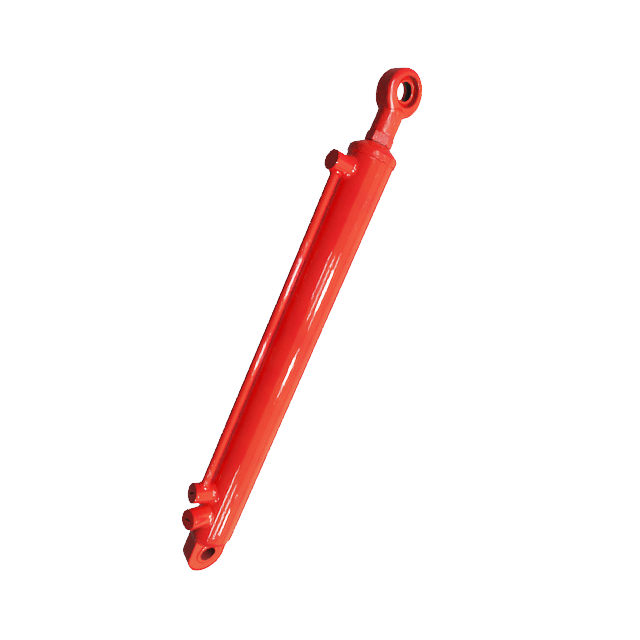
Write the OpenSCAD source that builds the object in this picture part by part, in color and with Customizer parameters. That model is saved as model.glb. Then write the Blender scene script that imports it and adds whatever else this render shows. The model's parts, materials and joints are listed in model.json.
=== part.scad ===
// Welded double-acting hydraulic cylinder, millimetres.
// +Z runs along the cylinder from the base pin to the rod pin. The base pin's centre is the origin,
// both pins lie along Y, and the port bosses point along -X.

/* [Length and pins] */
// Distance from base pin to rod pin with the rod fully in
closed_length = 755; // [745:1:775]
// Working stroke of the rod
stroke = 480; // [440:10:490]
// Bore of both pin eyes
pin_d = 25; // [22:0.5:26]

/* [Barrel] */
// Outside diameter of the honed tube
tube_d = 70; // [69:0.5:71]
// Inside diameter of the honed tube
bore_d = 60; // [59.5:0.5:60.5]
// Diameter of the gland's outer collar
collar_d = 73; // [72:0.5:76]

/* [Rod] */
// Diameter of the chromed rod
rod_d = 32; // [30:0.5:33]
// Outside diameter of the rod eye
eye_d = 65; // [62:0.5:70]
// Width of the rod eye along its pin
eye_w = 33; // [30:0.5:34]
// Diameter of the rod eye's shank
shank_d = 38; // [36:0.5:40]
// Width across flats of the jam nut
nut_flats = 36; // [34:0.5:38]

/* [Base lug] */
// Width of the base lug
lug_w = 60; // [54:1:61]
// Thickness of the base lug along its pin
lug_t = 30; // [24:0.5:31]

/* [Ports] */
// Diameter of the two threaded port bosses
boss_d = 31; // [28:0.5:32]
// Diameter of the blind boss at the rod end
blind_boss_d = 29; // [28:0.5:30]
// Outside diameter of the transfer pipe
pipe_d = 14; // [12:0.5:15]
// Distance from the barrel's axis to the pipe's axis
pipe_x = 48; // [47:0.5:50]
// Angle between the two lower bosses, seen along the barrel
port_clock = 12.6; // [0:0.2:20]

/* [Hidden] */

$fn = 96;
e = 0.01;            // cutters pass a face by this much
run = 0.03;          // radial clearance of a sliding fit
seat = 0.05;         // radial gap of a static fit

paint = "orangered";
steel = "silver";
chrome = "gainsboro";
black = "dimgray";

// Heights along the barrel
eye_z = closed_length;
shank_len = 62;                      // rod eye's lower end to its pin
shank_z0 = eye_z - shank_len;
nut_h = 13;
nut_z0 = shank_z0 - nut_h;
rod_show = 9;                        // collar to nut
collar_h = 15;
collar_z1 = nut_z0 - rod_show;
hub_h = 7;                           // raised middle of the gland, above its collar
hub_z1 = collar_z1 + hub_h;
tube_z1 = collar_z1 - collar_h;
tube_z0 = 56;
cap_z0 = 23;
port_b_z = 73;
port_a_z = 109;
blind_z = tube_z1 - 24;

// Barrel radii
tube_r = tube_d / 2;
bore_r = bore_d / 2;
rod_r = rod_d / 2;

// Base cap and lug
cap_corner = 14;
cap_spigot = 6;
seam_half = 4;                       // half width of the flush seam weld at the surface
seam_root = 0.8;                     // half width at its root
seam_depth = 4;
lug_end_drop = 5;                    // the rounded end is centred this far below the pin
bush_r = 18;
bush_len = lug_t + 1;

// Bosses and ports
boss_face = 61.5;                    // barrel axis to the face of a port boss
blind_face = 63;
passage_d = 10;
thread_d = 16.7;                     // port thread
thread_len = 9.5;
seal_d = 22;
seal_t = 1.5;
flange_t = 2.5;
flange_d = boss_d - 0.6;
slot_len = 11;
slot_w = 2.4;
slot_depth = 1.6;
slot_a_turn = 39;                    // slots turned from level, seen from outside
slot_b_turn = 20;
pipe_r = pipe_d / 2;
pipe_wall = 2;
pipe_socket = 6;                     // how far the pipe goes into a boss, clear of the plug's shank

// Piston
piston_z0 = tube_z0 + 25;
piston_h = 40;
piston_z1 = piston_z0 + piston_h;
piston_r = bore_r - 0.3;
piston_nut_h = 15;
spigot_r = 11;
wear_h = 10;
wear_depth = 2.7;
wear_inset = 3;
seal_h = 8;
piston_seal_depth = 4.7;
lower_wear_z = piston_z0 + wear_inset;
upper_wear_z = piston_z1 - wear_inset - wear_h;
piston_seal_z = piston_z0 + (piston_h - seal_h) / 2;
piston_oring_z = piston_z1 - 8;

// Gland, whose nose stops the piston at full stroke
nose_z = piston_z1 + stroke + 0.2;
land_z = tube_z1 - 16;
nose_r = bore_r - 5;
rod_bore_r = rod_r + 0.25;
chamfer = 4;
guide_z = nose_z + 7;
guide_h = 14;
rod_seal_z = guide_z + guide_h + 6;
rod_seal_h = 8;
wiper_h = 7;
wiper_r = rod_r + 4;
hub_r = wiper_r + 2;
oring_z = land_z + 4;
oring_r = 2;

// Rod end thread and rod eye bearing
rod_thread_r = 12;
rod_shoulder_z = nut_z0 - 0.5;
rod_tip_z = eye_z - 35;
bearing_r = 21;
bearing_w = 16;
ball_r = 17.75;
ball_w = 20;
shoulder_r = 19.8;                   // opening on the side the bearing doesn't go in from
clip_t = 1.75;
clip_r = 18.2;                       // inside radius of the circlip
clip_y = bearing_w / 2 + clip_t / 2 + 0.1;
face_r = 22.5;                       // flat face of the eye on its shank side
eye_round = 6.5;
eye_drop = 3;                        // the forging's disc is centred this far below the pin

// Points of an arc from angle a0 to a1 about (x, y)
function arc(x, y, r, a0, a1, n = 8) =
    [for (i = [0:n]) let (a = a0 + (a1 - a0) * i / n) [x + r * cos(a), y + r * sin(a)]];

// A ring about Z
module ring(ro, ri, h, z = 0) {
    translate([0, 0, z]) difference() {
        cylinder(r = ro, h = h);
        translate([0, 0, -e]) cylinder(r = ri, h = h + 2 * e);
    }
}

// Turns children built along +Z to point along -X at height z, clocked about the barrel
module radial(z, clock = 0) {
    translate([0, 0, z]) rotate([0, 0, clock]) rotate([0, -90, 0]) children();
}

// Turns children built about Z so that they lie about Y
module along_y(z = 0) {
    translate([0, 0, z]) rotate([90, 0, 0]) children();
}

module hexagon(flats, h) {
    cylinder(r = flats / sqrt(3), h = h, $fn = 6);
}

// Hexagon nut with both ends chamfered, bored to r
module nut(flats, h, r) {
    corner = flats / sqrt(3);
    drop = 1.8;
    difference() {
        intersection() {
            hexagon(flats, h);
            rotate_extrude() polygon([
                [0, 0], [corner - 2.6, 0], [corner + 0.2, drop],
                [corner + 0.2, h - drop], [corner - 2.6, h], [0, h]
            ]);
        }
        translate([0, 0, -e]) cylinder(r = r, h = h + 2 * e);
    }
}

// ---- barrel ----

// V groove that the tube and the cap are welded in
module seam_groove(overshoot = 0) {
    translate([0, 0, tube_z0]) rotate_extrude() polygon([
        [tube_r - seam_depth, -seam_root], [tube_r, -seam_half], [tube_r + overshoot, -seam_half],
        [tube_r + overshoot, seam_half], [tube_r, seam_half], [tube_r - seam_depth, seam_root]
    ]);
}

module barrel_tube() {
    color(paint) difference() {
        ring(tube_r, bore_r, tube_z1 - tube_z0, tube_z0);
        seam_groove(1);
        radial(port_b_z, port_clock) cylinder(d = passage_d, h = tube_r + 1);
        radial(blind_z) cylinder(d = passage_d - 2, h = tube_r + 1);
    }
}

// Forged end cap with a rounded shoulder and a spigot inside the tube
module base_cap() {
    color(paint) difference() {
        rotate_extrude() polygon(concat(
            [[0, cap_z0]],
            arc(tube_r - cap_corner, cap_z0 + cap_corner, cap_corner, -90, 0),
            [
                [tube_r, tube_z0], [bore_r - seat, tube_z0],
                [bore_r - seat, tube_z0 + cap_spigot], [0, tube_z0 + cap_spigot]
            ]
        ));
        seam_groove(1);
    }
}

module base_lug() {
    color(paint) difference() {
        along_y() linear_extrude(lug_t, center = true) union() {
            translate([0, -lug_end_drop]) circle(r = lug_w / 2);
            translate([-lug_w / 2, -lug_end_drop]) square([lug_w, cap_z0 + cap_corner + lug_end_drop]);
        }
        base_cap();
        along_y() cylinder(r = bush_r, h = lug_t + 2 * e, center = true);
    }
}

module base_bush() {
    edge = 0.8;
    color(steel) along_y() rotate_extrude() polygon([
        [pin_d / 2, -bush_len / 2], [bush_r - edge, -bush_len / 2], [bush_r, -bush_len / 2 + edge],
        [bush_r, bush_len / 2 - edge], [bush_r - edge, bush_len / 2], [pin_d / 2, bush_len / 2]
    ]);
}

// Ground flush with the tube
module base_seam_weld() {
    color(paint) seam_groove();
}

// Fillet round the lug's foot, on the cap's flat end and up its rounded corners
module base_lug_weld() {
    leg = 4.5;
    module slab(z, grow) {
        translate([0, 0, z]) linear_extrude(0.1) offset(r = grow) square([lug_w, lug_t], center = true);
    }
    color(paint) difference() {
        union() {
            hull() { slab(cap_z0 - leg, 0.2); slab(cap_z0, leg); }
            for (side = [-1, 1]) intersection() {
                hull() { slab(cap_z0 - leg, 0.2); slab(cap_z0 + 9, leg); }
                translate([side * (lug_w / 2 + 1), 0, cap_z0]) cube([14, lug_t + 12, 30], center = true);
            }
        }
        base_cap();
        translate([-lug_w / 2, -lug_t / 2, 0]) cube([lug_w, lug_t, 60]);
        translate([0, 0, cap_z0 + 9]) linear_extrude(10) square(100, center = true);
        difference() {
            translate([0, 0, cap_z0 - 10]) cylinder(r = 60, h = 40);
            translate([0, 0, cap_z0 - 11]) cylinder(r = tube_r - 1, h = 42);
        }
    }
}

// A boss blank that sits on the tube, with its edge broken
module boss_blank(d, face) {
    edge = 0.8;
    difference() {
        rotate_extrude() polygon([
            [0, tube_r - 8], [d / 2, tube_r - 8], [d / 2, face - edge], [d / 2 - edge, face], [0, face]
        ]);
        rotate([0, 90, 0]) cylinder(r = tube_r, h = 2 * d, center = true);
    }
}

// Fillet bead round a boss of diameter d
module boss_bead(d) {
    reach = 4.5;
    difference() {
        translate([0, 0, tube_r - 6]) cylinder(r1 = d / 2 + reach + 1.5, r2 = d / 2, h = 10);
        translate([0, 0, tube_r - 8]) cylinder(r = d / 2, h = 20);
        rotate([0, 90, 0]) cylinder(r = tube_r, h = 3 * d, center = true);
    }
}

// Cylinder that the transfer pipe fills, at the pipe's place
module pipe_hole(z, h, r = pipe_r) {
    translate([-pipe_x, 0, z]) cylinder(r = r, h = h);
}

pipe_z0 = port_a_z + boss_d / 2 - pipe_socket;
pipe_z1 = blind_z - blind_boss_d / 2 + pipe_socket;

module rod_side_boss() {
    color(paint) difference() {
        radial(blind_z) boss_blank(blind_boss_d, blind_face);
        radial(blind_z) cylinder(d = passage_d - 2, h = pipe_x);
        pipe_hole(blind_z - blind_boss_d, blind_boss_d - blind_boss_d / 2 + pipe_socket);
        pipe_hole(pipe_z1 - e, blind_z - pipe_z1, pipe_r - pipe_wall);
    }
}

module rod_side_boss_weld() {
    color(paint) radial(blind_z) boss_bead(blind_boss_d);
}

// Port boss with its thread, seal recess and inner passage from depth inner
module port_boss(inner) {
    difference() {
        boss_blank(boss_d, boss_face);
        translate([0, 0, boss_face - thread_len]) cylinder(d = thread_d, h = thread_len + 1);
        translate([0, 0, boss_face - seal_t]) cylinder(d = seal_d + 0.4, h = seal_t + 1);
        translate([0, 0, inner]) cylinder(d = passage_d, h = boss_face - inner - 1);
    }
}

module port_a_boss() {
    color(paint) difference() {
        radial(port_a_z) port_boss(pipe_x - passage_d / 2);
        pipe_hole(pipe_z0, boss_d);
        pipe_hole(port_a_z, boss_d / 2, pipe_r - pipe_wall);
    }
}

module port_b_boss() {
    color(paint) radial(port_b_z, port_clock) port_boss(0);
}

module port_a_boss_weld() {
    color(paint) difference() {
        radial(port_a_z) boss_bead(boss_d);
        radial(port_b_z, port_clock) cylinder(d = boss_d + 9, h = boss_face);
    }
}

module port_b_boss_weld() {
    color(paint) difference() {
        radial(port_b_z, port_clock) boss_bead(boss_d);
        radial(port_a_z) cylinder(d = boss_d, h = boss_face);
    }
}

module transfer_pipe() {
    color(paint) translate([-pipe_x, 0, 0]) ring(pipe_r, pipe_r - pipe_wall, pipe_z1 - pipe_z0, pipe_z0);
}

// Fillet bead round the pipe where it enters a boss of radius r at height z, dir is the pipe's side
module pipe_bead(z, r, dir) {
    reach = 3.5;
    difference() {
        translate([-pipe_x, 0, z + dir * (r - 2.5)]) mirror([0, 0, dir < 0 ? 1 : 0])
            cylinder(r1 = pipe_r + reach, r2 = pipe_r, h = 6.5);
        pipe_hole(z - 2 * r, 4 * r);
        radial(z) cylinder(r = r, h = blind_face + 2);
    }
}

module pipe_top_weld() {
    color(paint) pipe_bead(blind_z, blind_boss_d / 2, -1);
}

module pipe_bottom_weld() {
    color(paint) pipe_bead(port_a_z, boss_d / 2, 1);
}

// ---- port plugs ----

module port_seal() {
    translate([0, 0, boss_face - seal_t]) ring(seal_d / 2, thread_d / 2 + 0.1, seal_t);
}

// Slotted plug: flange on the boss face, threaded shank with ring grooves
module port_plug(slot_turn) {
    edge = 0.6;
    pitch = 1.337;
    depth = 0.6;
    r = thread_d / 2 - seat;
    shank = thread_len - 0.5;
    flights = floor(shank / pitch);
    face = boss_face + flange_t;
    flange_r = flange_d / 2;
    difference() {
        rotate_extrude() polygon(concat(
            [[0, boss_face - shank], [r - depth, boss_face - shank]],
            [for (i = [0:flights - 1]) let (z = boss_face - shank + i * pitch)
                each [[r - depth, z + e], [r, z + pitch / 2], [r - depth, z + pitch - e]]],
            [
                [r - depth, boss_face], [flange_r, boss_face], [flange_r, face - edge],
                [flange_r - edge * 0.3, face - edge * 0.3], [flange_r - edge, face], [0, face]
            ]
        ));
        rotate([0, 0, slot_turn]) translate([-slot_w / 2, -slot_len / 2, face - slot_depth])
            cube([slot_w, slot_len, slot_depth + 1]);
    }
}

module port_a_seal() { color(black) radial(port_a_z) port_seal(); }
module port_a_plug() { color(paint) radial(port_a_z) port_plug(slot_a_turn); }
module port_b_seal() { color(black) radial(port_b_z, port_clock) port_seal(); }
module port_b_plug() { color(paint) radial(port_b_z, port_clock) port_plug(slot_b_turn); }

// ---- gland ----

module head_gland() {
    color(paint) difference() {
        rotate_extrude() polygon([
            [rod_bore_r, nose_z], [nose_r - 1, nose_z], [nose_r, nose_z + 1], [nose_r, land_z - 3],
            [bore_r - seat, land_z], [bore_r - seat, tube_z1], [collar_d / 2 - 0.5, tube_z1],
            [collar_d / 2, tube_z1 + 0.8], [collar_d / 2, collar_z1 - chamfer],
            [collar_d / 2 - 0.8, collar_z1 - chamfer + 1.4], [collar_d / 2 - chamfer, collar_z1],
            [hub_r, hub_z1 - 0.6], [hub_r - 0.6, hub_z1], [rod_bore_r, hub_z1]
        ]);
        ring(bore_r + 1, bore_r - 2 * oring_r, 2 * oring_r + 1.6, oring_z - oring_r);
        ring(rod_r + 2 + seat, rod_r, guide_h + 0.2, guide_z - 0.1);
        ring(rod_r + 5, rod_r, rod_seal_h + 0.2, rod_seal_z - 0.1);
        ring(wiper_r + seat, rod_r, wiper_h + 1, hub_z1 - wiper_h);
    }
}

module gland_oring() {
    color(black) translate([0, 0, oring_z]) rotate_extrude()
        translate([bore_r - oring_r, 0]) circle(r = oring_r - 0.02, $fn = 32);
}

module gland_backup_ring() {
    color("white") ring(bore_r - seat, bore_r - 2 * oring_r + seat, 1.4, oring_z + oring_r + 0.1);
}

module rod_guide() {
    color("darkolivegreen") ring(rod_r + 2, rod_r + run, guide_h, guide_z);
}

// U-cup, open towards the oil
module rod_seal() {
    color(black) translate([0, 0, rod_seal_z]) rotate_extrude() polygon([
        [rod_r + run, 0], [rod_r + 1.4, 0], [rod_r + 2.2, 3], [rod_r + 2.8, 3], [rod_r + 3.6, 0],
        [rod_r + 4.9, 0], [rod_r + 4.9, rod_seal_h], [rod_r + 0.4, rod_seal_h], [rod_r + run, 2]
    ]);
}

module wiper_seal() {
    lip = 1.2;
    color(black) translate([0, 0, hub_z1 - wiper_h]) rotate_extrude() polygon([
        [rod_r + 0.5, 0.1], [wiper_r, 0.1], [wiper_r, wiper_h], [rod_r + 2.6, wiper_h],
        [rod_r + 1.6, wiper_h + lip], [rod_r + run, wiper_h + lip], [rod_r + run, wiper_h - 1],
        [rod_r + 0.5, wiper_h - 3]
    ]);
}

// ---- piston and rod ----

// Ring in a piston groove of this depth
module piston_ring(z, h, depth) {
    ring(bore_r - run, piston_r - depth + seat, h - 0.1, z + 0.05);
}

module piston_seal() { color(black) piston_ring(piston_seal_z, seal_h, piston_seal_depth); }
module lower_wear_ring() { color("tan") piston_ring(lower_wear_z, wear_h, wear_depth); }
module upper_wear_ring() { color("tan") piston_ring(upper_wear_z, wear_h, wear_depth); }

module piston() {
    groove = 2.5;
    color(steel) difference() {
        ring(piston_r, spigot_r + 0.02, piston_h, piston_z0);
        ring(bore_r + 1, piston_r - wear_depth, wear_h, lower_wear_z);
        ring(bore_r + 1, piston_r - wear_depth, wear_h, upper_wear_z);
        ring(bore_r + 1, piston_r - piston_seal_depth, seal_h, piston_seal_z);
        ring(spigot_r + groove, spigot_r - 1, 3.4, piston_oring_z - 1.7);
    }
}

module piston_oring() {
    section = 1.2;
    color(black) translate([0, 0, piston_oring_z]) rotate_extrude()
        translate([spigot_r + section + 0.03, 0]) circle(r = section, $fn = 32);
}

module piston_nut() {
    flats = 32;
    color(steel) translate([0, 0, piston_z0 - piston_nut_h]) nut(flats, piston_nut_h, spigot_r + 0.02);
}

module piston_rod() {
    tail_z = piston_z0 - piston_nut_h - 2;
    color(chrome) rotate_extrude() polygon([
        [0, tail_z], [spigot_r - 1.5, tail_z], [spigot_r, tail_z + 1.5], [spigot_r, piston_z1],
        [rod_r, piston_z1], [rod_r, rod_shoulder_z - 2], [rod_r - 2, rod_shoulder_z],
        [rod_thread_r, rod_shoulder_z], [rod_thread_r, rod_tip_z - 1.5],
        [rod_thread_r - 1.5, rod_tip_z], [0, rod_tip_z]
    ]);
}

module jam_nut() {
    turn = 22.5;
    color(paint) translate([0, 0, nut_z0]) rotate([0, 0, turn]) nut(nut_flats, nut_h, rod_thread_r + 0.02);
}

// Forged eye: a round shank run out into a disc with flat faces, shouldered at the front of its bore
module rod_eye() {
    half = eye_w / 2;
    r = eye_d / 2 - eye_round;
    mouth = 1.2;
    groove_w = clip_t + 0.2;
    color(paint) difference() {
        union() {
            along_y(eye_z - eye_drop) rotate_extrude() polygon(concat(
                [[0, -half]], arc(r, -half + eye_round, eye_round, -90, 0, 5),
                arc(r, half - eye_round, eye_round, 0, 90, 5), [[0, half]]
            ));
            difference() {
                translate([0, 0, shank_z0]) rotate_extrude() polygon([
                    [0, 0], [shank_d / 2 - 1, 0], [shank_d / 2, 1], [shank_d / 2, shank_len - 10],
                    [0, shank_len - 10]
                ]);
                for (side = [-1, 1]) translate([0, side * (half + 20), 0])
                    along_y(eye_z) cylinder(r = face_r, h = 40, center = true);
            }
        }
        along_y(eye_z) rotate_extrude() polygon([
            [0, -half - e], [bearing_r + mouth, -half - e], [bearing_r + 0.02, -half + mouth],
            [bearing_r + 0.02, -clip_y - groove_w / 2], [bearing_r + 1.1, -clip_y - groove_w / 2],
            [bearing_r + 1.1, -clip_y + groove_w / 2], [bearing_r + 0.02, -clip_y + groove_w / 2],
            [bearing_r + 0.02, bearing_w / 2], [shoulder_r, bearing_w / 2],
            [shoulder_r, half - mouth], [shoulder_r + mouth, half + e], [0, half + e]
        ]);
        translate([0, 0, shank_z0 - e]) cylinder(r = rod_thread_r + 0.02, h = rod_tip_z - shank_z0 + 1);
    }
}

module bearing_outer_ring() {
    color(steel) along_y(eye_z) difference() {
        cylinder(r = bearing_r, h = bearing_w, center = true);
        sphere(r = ball_r + seat);
    }
}

module bearing_ball() {
    color(steel) along_y(eye_z) difference() {
        intersection() {
            sphere(r = ball_r);
            cylinder(r = ball_r + 1, h = ball_w, center = true);
        }
        cylinder(d = pin_d, h = ball_w + 2, center = true);
    }
}

// Internal circlip behind the bearing, with its gap and plier ears at the top
module bearing_circlip() {
    outer = bearing_r + 1;
    gap = 9;
    ear_r = 2.2;
    ear_x = gap / 2 + ear_r;
    ear_z = bearing_r - 3.4;
    color(steel) translate([0, clip_y, 0]) along_y(eye_z)
        linear_extrude(clip_t, center = true) difference() {
            union() {
                difference() {
                    circle(r = outer);
                    circle(r = clip_r);
                    translate([-gap / 2, 0]) square([gap, outer + 1]);
                }
                for (s = [-1, 1]) translate([s * ear_x, ear_z]) circle(r = ear_r);
            }
            for (s = [-1, 1]) translate([s * ear_x, ear_z]) circle(r = 1);
        }
}

barrel_tube();
base_cap();
base_lug();
base_bush();
base_seam_weld();
base_lug_weld();
rod_side_boss();
rod_side_boss_weld();
port_a_boss();
port_a_boss_weld();
port_b_boss();
port_b_boss_weld();
transfer_pipe();
pipe_top_weld();
pipe_bottom_weld();
port_a_seal();
port_a_plug();
port_b_seal();
port_b_plug();
head_gland();
gland_oring();
gland_backup_ring();
rod_guide();
rod_seal();
wiper_seal();
piston_seal();
lower_wear_ring();
upper_wear_ring();
piston_rod();
piston();
piston_oring();
piston_nut();
jam_nut();
rod_eye();
bearing_outer_ring();
bearing_circlip();
bearing_ball();
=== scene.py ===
"""Looks of a red welded hydraulic cylinder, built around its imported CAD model. Everything is in metres.

+Z runs along the cylinder, both pins lie along Y, and the bosses point along -X.
"""
import json
import math

import bmesh
import bpy
from mathutils import Matrix, Vector, noise


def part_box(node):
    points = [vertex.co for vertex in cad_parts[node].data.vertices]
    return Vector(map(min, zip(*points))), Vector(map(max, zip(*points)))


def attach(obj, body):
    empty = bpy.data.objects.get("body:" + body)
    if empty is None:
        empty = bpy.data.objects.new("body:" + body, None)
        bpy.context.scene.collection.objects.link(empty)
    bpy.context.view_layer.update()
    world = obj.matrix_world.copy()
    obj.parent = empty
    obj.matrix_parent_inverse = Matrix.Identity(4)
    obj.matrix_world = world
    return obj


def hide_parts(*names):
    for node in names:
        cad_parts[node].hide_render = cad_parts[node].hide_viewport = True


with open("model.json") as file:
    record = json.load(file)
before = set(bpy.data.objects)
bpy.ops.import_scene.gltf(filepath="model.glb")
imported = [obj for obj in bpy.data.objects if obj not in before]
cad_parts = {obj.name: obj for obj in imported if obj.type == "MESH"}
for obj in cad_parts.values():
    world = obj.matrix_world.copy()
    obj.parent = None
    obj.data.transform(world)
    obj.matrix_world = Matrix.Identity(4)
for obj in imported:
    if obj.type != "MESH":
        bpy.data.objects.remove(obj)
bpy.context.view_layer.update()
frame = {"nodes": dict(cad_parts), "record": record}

MM = 0.001

# ---- camera ----

CAMERA_PLACE = Vector((-0.428, -0.5046, 0.5489))
CAMERA_AZIMUTH = math.radians(-42.27)
CAMERA_ELEVATION = math.radians(9.19)
CAMERA_ROLL = math.radians(23.58)


def make_camera():
    """A wide lens close to the rod end, rolled so that the cylinder leans to the right."""
    data = bpy.data.cameras.new("camera")
    data.sensor_width = 36
    data.lens = 25.61
    data.shift_x = -0.0070
    data.shift_y = -0.0213
    data.clip_start = 0.01
    camera = bpy.data.objects.new("camera", data)
    bpy.context.scene.collection.objects.link(camera)
    a, e = CAMERA_AZIMUTH, CAMERA_ELEVATION
    back = Vector((math.sin(a) * math.cos(e), -math.cos(a) * math.cos(e), math.sin(e)))
    level = Vector((math.cos(a), math.sin(a), 0))
    right = Matrix.Rotation(CAMERA_ROLL, 3, back) @ level
    up = back.cross(right)
    camera.matrix_world = Matrix((right, up, back)).transposed().to_4x4()
    camera.matrix_world.translation = CAMERA_PLACE
    bpy.context.scene.camera = camera


make_camera()

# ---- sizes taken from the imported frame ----


def mount(name):
    """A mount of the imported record."""
    return next(m for m in frame["record"]["mounts"] if m["name"] == name)


TUBE_LOW, TUBE_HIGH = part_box("barrel_tube")
TUBE_R = TUBE_HIGH.x
CAP_LOW, CAP_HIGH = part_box("base_cap")
EYE_Z = mount("rod_eye")["pos_m"][2]
PIN_R = mount("base_eye")["dims"]["r_mm"] * MM
GLAND_LOW, GLAND_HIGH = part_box("head_gland")
COLLAR_R = GLAND_HIGH.y
PIPE_LOW, PIPE_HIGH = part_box("transfer_pipe")
PIPE_R = (PIPE_HIGH.x - PIPE_LOW.x) / 2
PIPE_X = (PIPE_HIGH.x + PIPE_LOW.x) / 2
ROD_LOW, ROD_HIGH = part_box("piston_rod")
ROD_R = ROD_HIGH.x
BOSS_SIDE = Vector((-1, 0, 0))


def boss_place(node, outward=BOSS_SIDE):
    """Height, radius and outward direction of a boss."""
    low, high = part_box(node)
    return (low.z + high.z) / 2, (high.z - low.z) / 2, outward


BLIND = boss_place("rod_side_boss")
PORT_A = boss_place("port_a_boss", Vector(mount("port_a")["axis"]))
PORT_B = boss_place("port_b_boss", Vector(mount("port_b")["axis"]))
BLIND_FACE = -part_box("rod_side_boss")[0].x
PORT_FACE = Vector(mount("port_a")["pos_m"]).xy.length

# ---- mesh helpers ----


def finish_mesh(name, bm, materials, smooth_angle=32):
    """A new object from bm, shaded smooth except across edges sharper than smooth_angle degrees."""
    bmesh.ops.recalc_face_normals(bm, faces=bm.faces)
    mesh = bpy.data.meshes.new(name)
    bm.to_mesh(mesh)
    bm.free()
    piece = bpy.data.objects.new(name, mesh)
    bpy.context.scene.collection.objects.link(piece)
    for material in materials:
        mesh.materials.append(material)
    mesh.polygons.foreach_set("use_smooth", [True] * len(mesh.polygons))
    mesh.set_sharp_from_angle(angle=math.radians(smooth_angle))
    return piece


def hand_over(piece, body, slot, *nodes):
    """Rides the piece on a body, in place of some CAD nodes. The slot argument is not used."""
    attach(piece, body)
    if nodes:
        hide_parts(*nodes)
    return piece


def rounded(points, steps=6):
    """A closed outline of (a, b, round) points with each corner of round > 0 turned into an arc."""
    out = []
    count = len(points)
    for i, (a, b, size) in enumerate(points):
        corner = Vector((a, b))
        if size <= 0:
            out.append(corner)
            continue
        before = (Vector(points[i - 1][:2]) - corner).normalized()
        after = (Vector(points[(i + 1) % count][:2]) - corner).normalized()
        half = before.angle(after) / 2
        reach = size / math.tan(half)
        middle = corner + (before + after).normalized() * size / math.sin(half)
        start = corner + before * reach - middle
        end = corner + after * reach - middle
        sweep = start.angle_signed(end)
        for k in range(steps + 1):
            turn = -sweep * k / steps
            out.append(middle + Matrix.Rotation(turn, 2) @ start)
    return out


def about_z(r, turn, z):
    """Places a lathe about the cylinder's axis."""
    return Vector((r * math.cos(turn), r * math.sin(turn), z))


def about_y(centre_z):
    """Places a lathe about the pin axis at one height; the outline's second value runs along Y."""
    return lambda r, turn, y: Vector((r * math.sin(turn), y, centre_z + r * math.cos(turn)))


def about_boss(place):
    """Places a lathe about a boss's axis; the outline's second value runs out from the barrel's axis."""
    z, _, out = place
    side = Vector((-out.y, out.x, 0))
    return lambda r, turn, d: out * d + side * (r * math.sin(turn)) + Vector((0, 0, z + r * math.cos(turn)))


def lathe(outline, where=about_z, segments=128, moved=None):
    """A closed outline of (radius, along) turned about an axis.

    An outline point on the axis becomes one vertex.
    """
    bm = bmesh.new()
    rings = []
    for r, along in outline:
        if r < 1e-9:
            rings.append([bm.verts.new(where(0, 0, along))])
            continue
        ring = []
        for s in range(segments):
            turn = 2 * math.pi * s / segments
            point = where(r, turn, along)
            ring.append(bm.verts.new(moved(point, r, turn, along) if moved else point))
        rings.append(ring)
    for first, second in zip(rings, rings[1:] + rings[:1]):
        if len(first) == 1 and len(second) == 1:
            continue
        for s in range(segments):
            n = (s + 1) % segments
            if len(first) == 1:
                bm.faces.new((first[0], second[s], second[n]))
            elif len(second) == 1:
                bm.faces.new((first[s], second[0], first[n]))
            else:
                bm.faces.new((first[s], second[s], second[n], first[n]))
    return bm


def subdivided(outline, longest):
    """The same outline with every straight stretch cut to at most one length."""
    out = []
    for a, b in zip(outline, outline[1:] + outline[:1]):
        cuts = max(1, math.ceil((b - a).length / longest))
        out += [a.lerp(b, k / cuts) for k in range(cuts)]
    return out


def cut(piece, cutter):
    """Takes a closed mesh out of the piece for good."""
    step = piece.modifiers.new("cut", "BOOLEAN")
    step.operation = "DIFFERENCE"
    step.solver = "EXACT"
    step.object = cutter
    settle(piece)
    bpy.data.objects.remove(cutter)


def settle(piece):
    """Applies the piece's modifiers to its mesh."""
    bpy.context.view_layer.update()
    seen = piece.evaluated_get(bpy.context.evaluated_depsgraph_get())
    mesh = bpy.data.meshes.new_from_object(seen)
    piece.modifiers.clear()
    piece.data = mesh


def wobble(point, size, depth):
    """Smooth uneven height at a point, for lumps about this size."""
    return depth * noise.noise(point / size)


# ---- materials ----

ENAMEL_RED = (0.74, 0.006, 0.004, 1)
ENAMEL_DEEP = (0.68, 0.003, 0.004, 1)
PEEL_DEPTH = 0.0000015
NIB_DEPTH = 0.000007


def start_material(name):
    """A node material, its shader, and a maker for further nodes."""
    material = bpy.data.materials.new(name)
    material.use_nodes = True
    tree = material.node_tree
    shader = tree.nodes["Principled BSDF"]

    def add(kind, **values):
        node = tree.nodes.new(kind)
        for key, value in values.items():
            if hasattr(node, key):
                setattr(node, key, value)
            else:
                node.inputs[key.replace("_", " ").title()].default_value = value
        return node

    return material, tree, shader, add


def noise_at(tree, add, coordinates, scale, detail=2.0):
    """The value of a noise texture; a larger scale is finer."""
    node = add("ShaderNodeTexNoise", scale=scale, detail=detail)
    tree.links.new(coordinates, node.inputs["Vector"])
    return node.outputs["Fac"]


def ramp(tree, add, value, stops):
    """Maps a value through (position, colour) stops."""
    node = add("ShaderNodeValToRGB")
    band = node.color_ramp
    while len(band.elements) < len(stops):
        band.elements.new(0.5)
    for element, (place, colour) in zip(band.elements, stops):
        element.position = place
        element.color = colour
    tree.links.new(value, node.inputs["Fac"])
    return node.outputs["Color"]


def bumps(tree, add, shader, layers, coat=False):
    """Stacks (height, distance) layers into the shader's normal."""
    last = None
    for height, distance in layers:
        node = add("ShaderNodeBump", strength=1.0, distance=distance)
        tree.links.new(height, node.inputs["Height"])
        if last:
            tree.links.new(last, node.inputs["Normal"])
        last = node.outputs["Normal"]
    tree.links.new(last, shader.inputs["Normal"])
    if coat:
        tree.links.new(last, shader.inputs["Coat Normal"])


def grey(v):
    return (v, v, v, 1)


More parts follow.
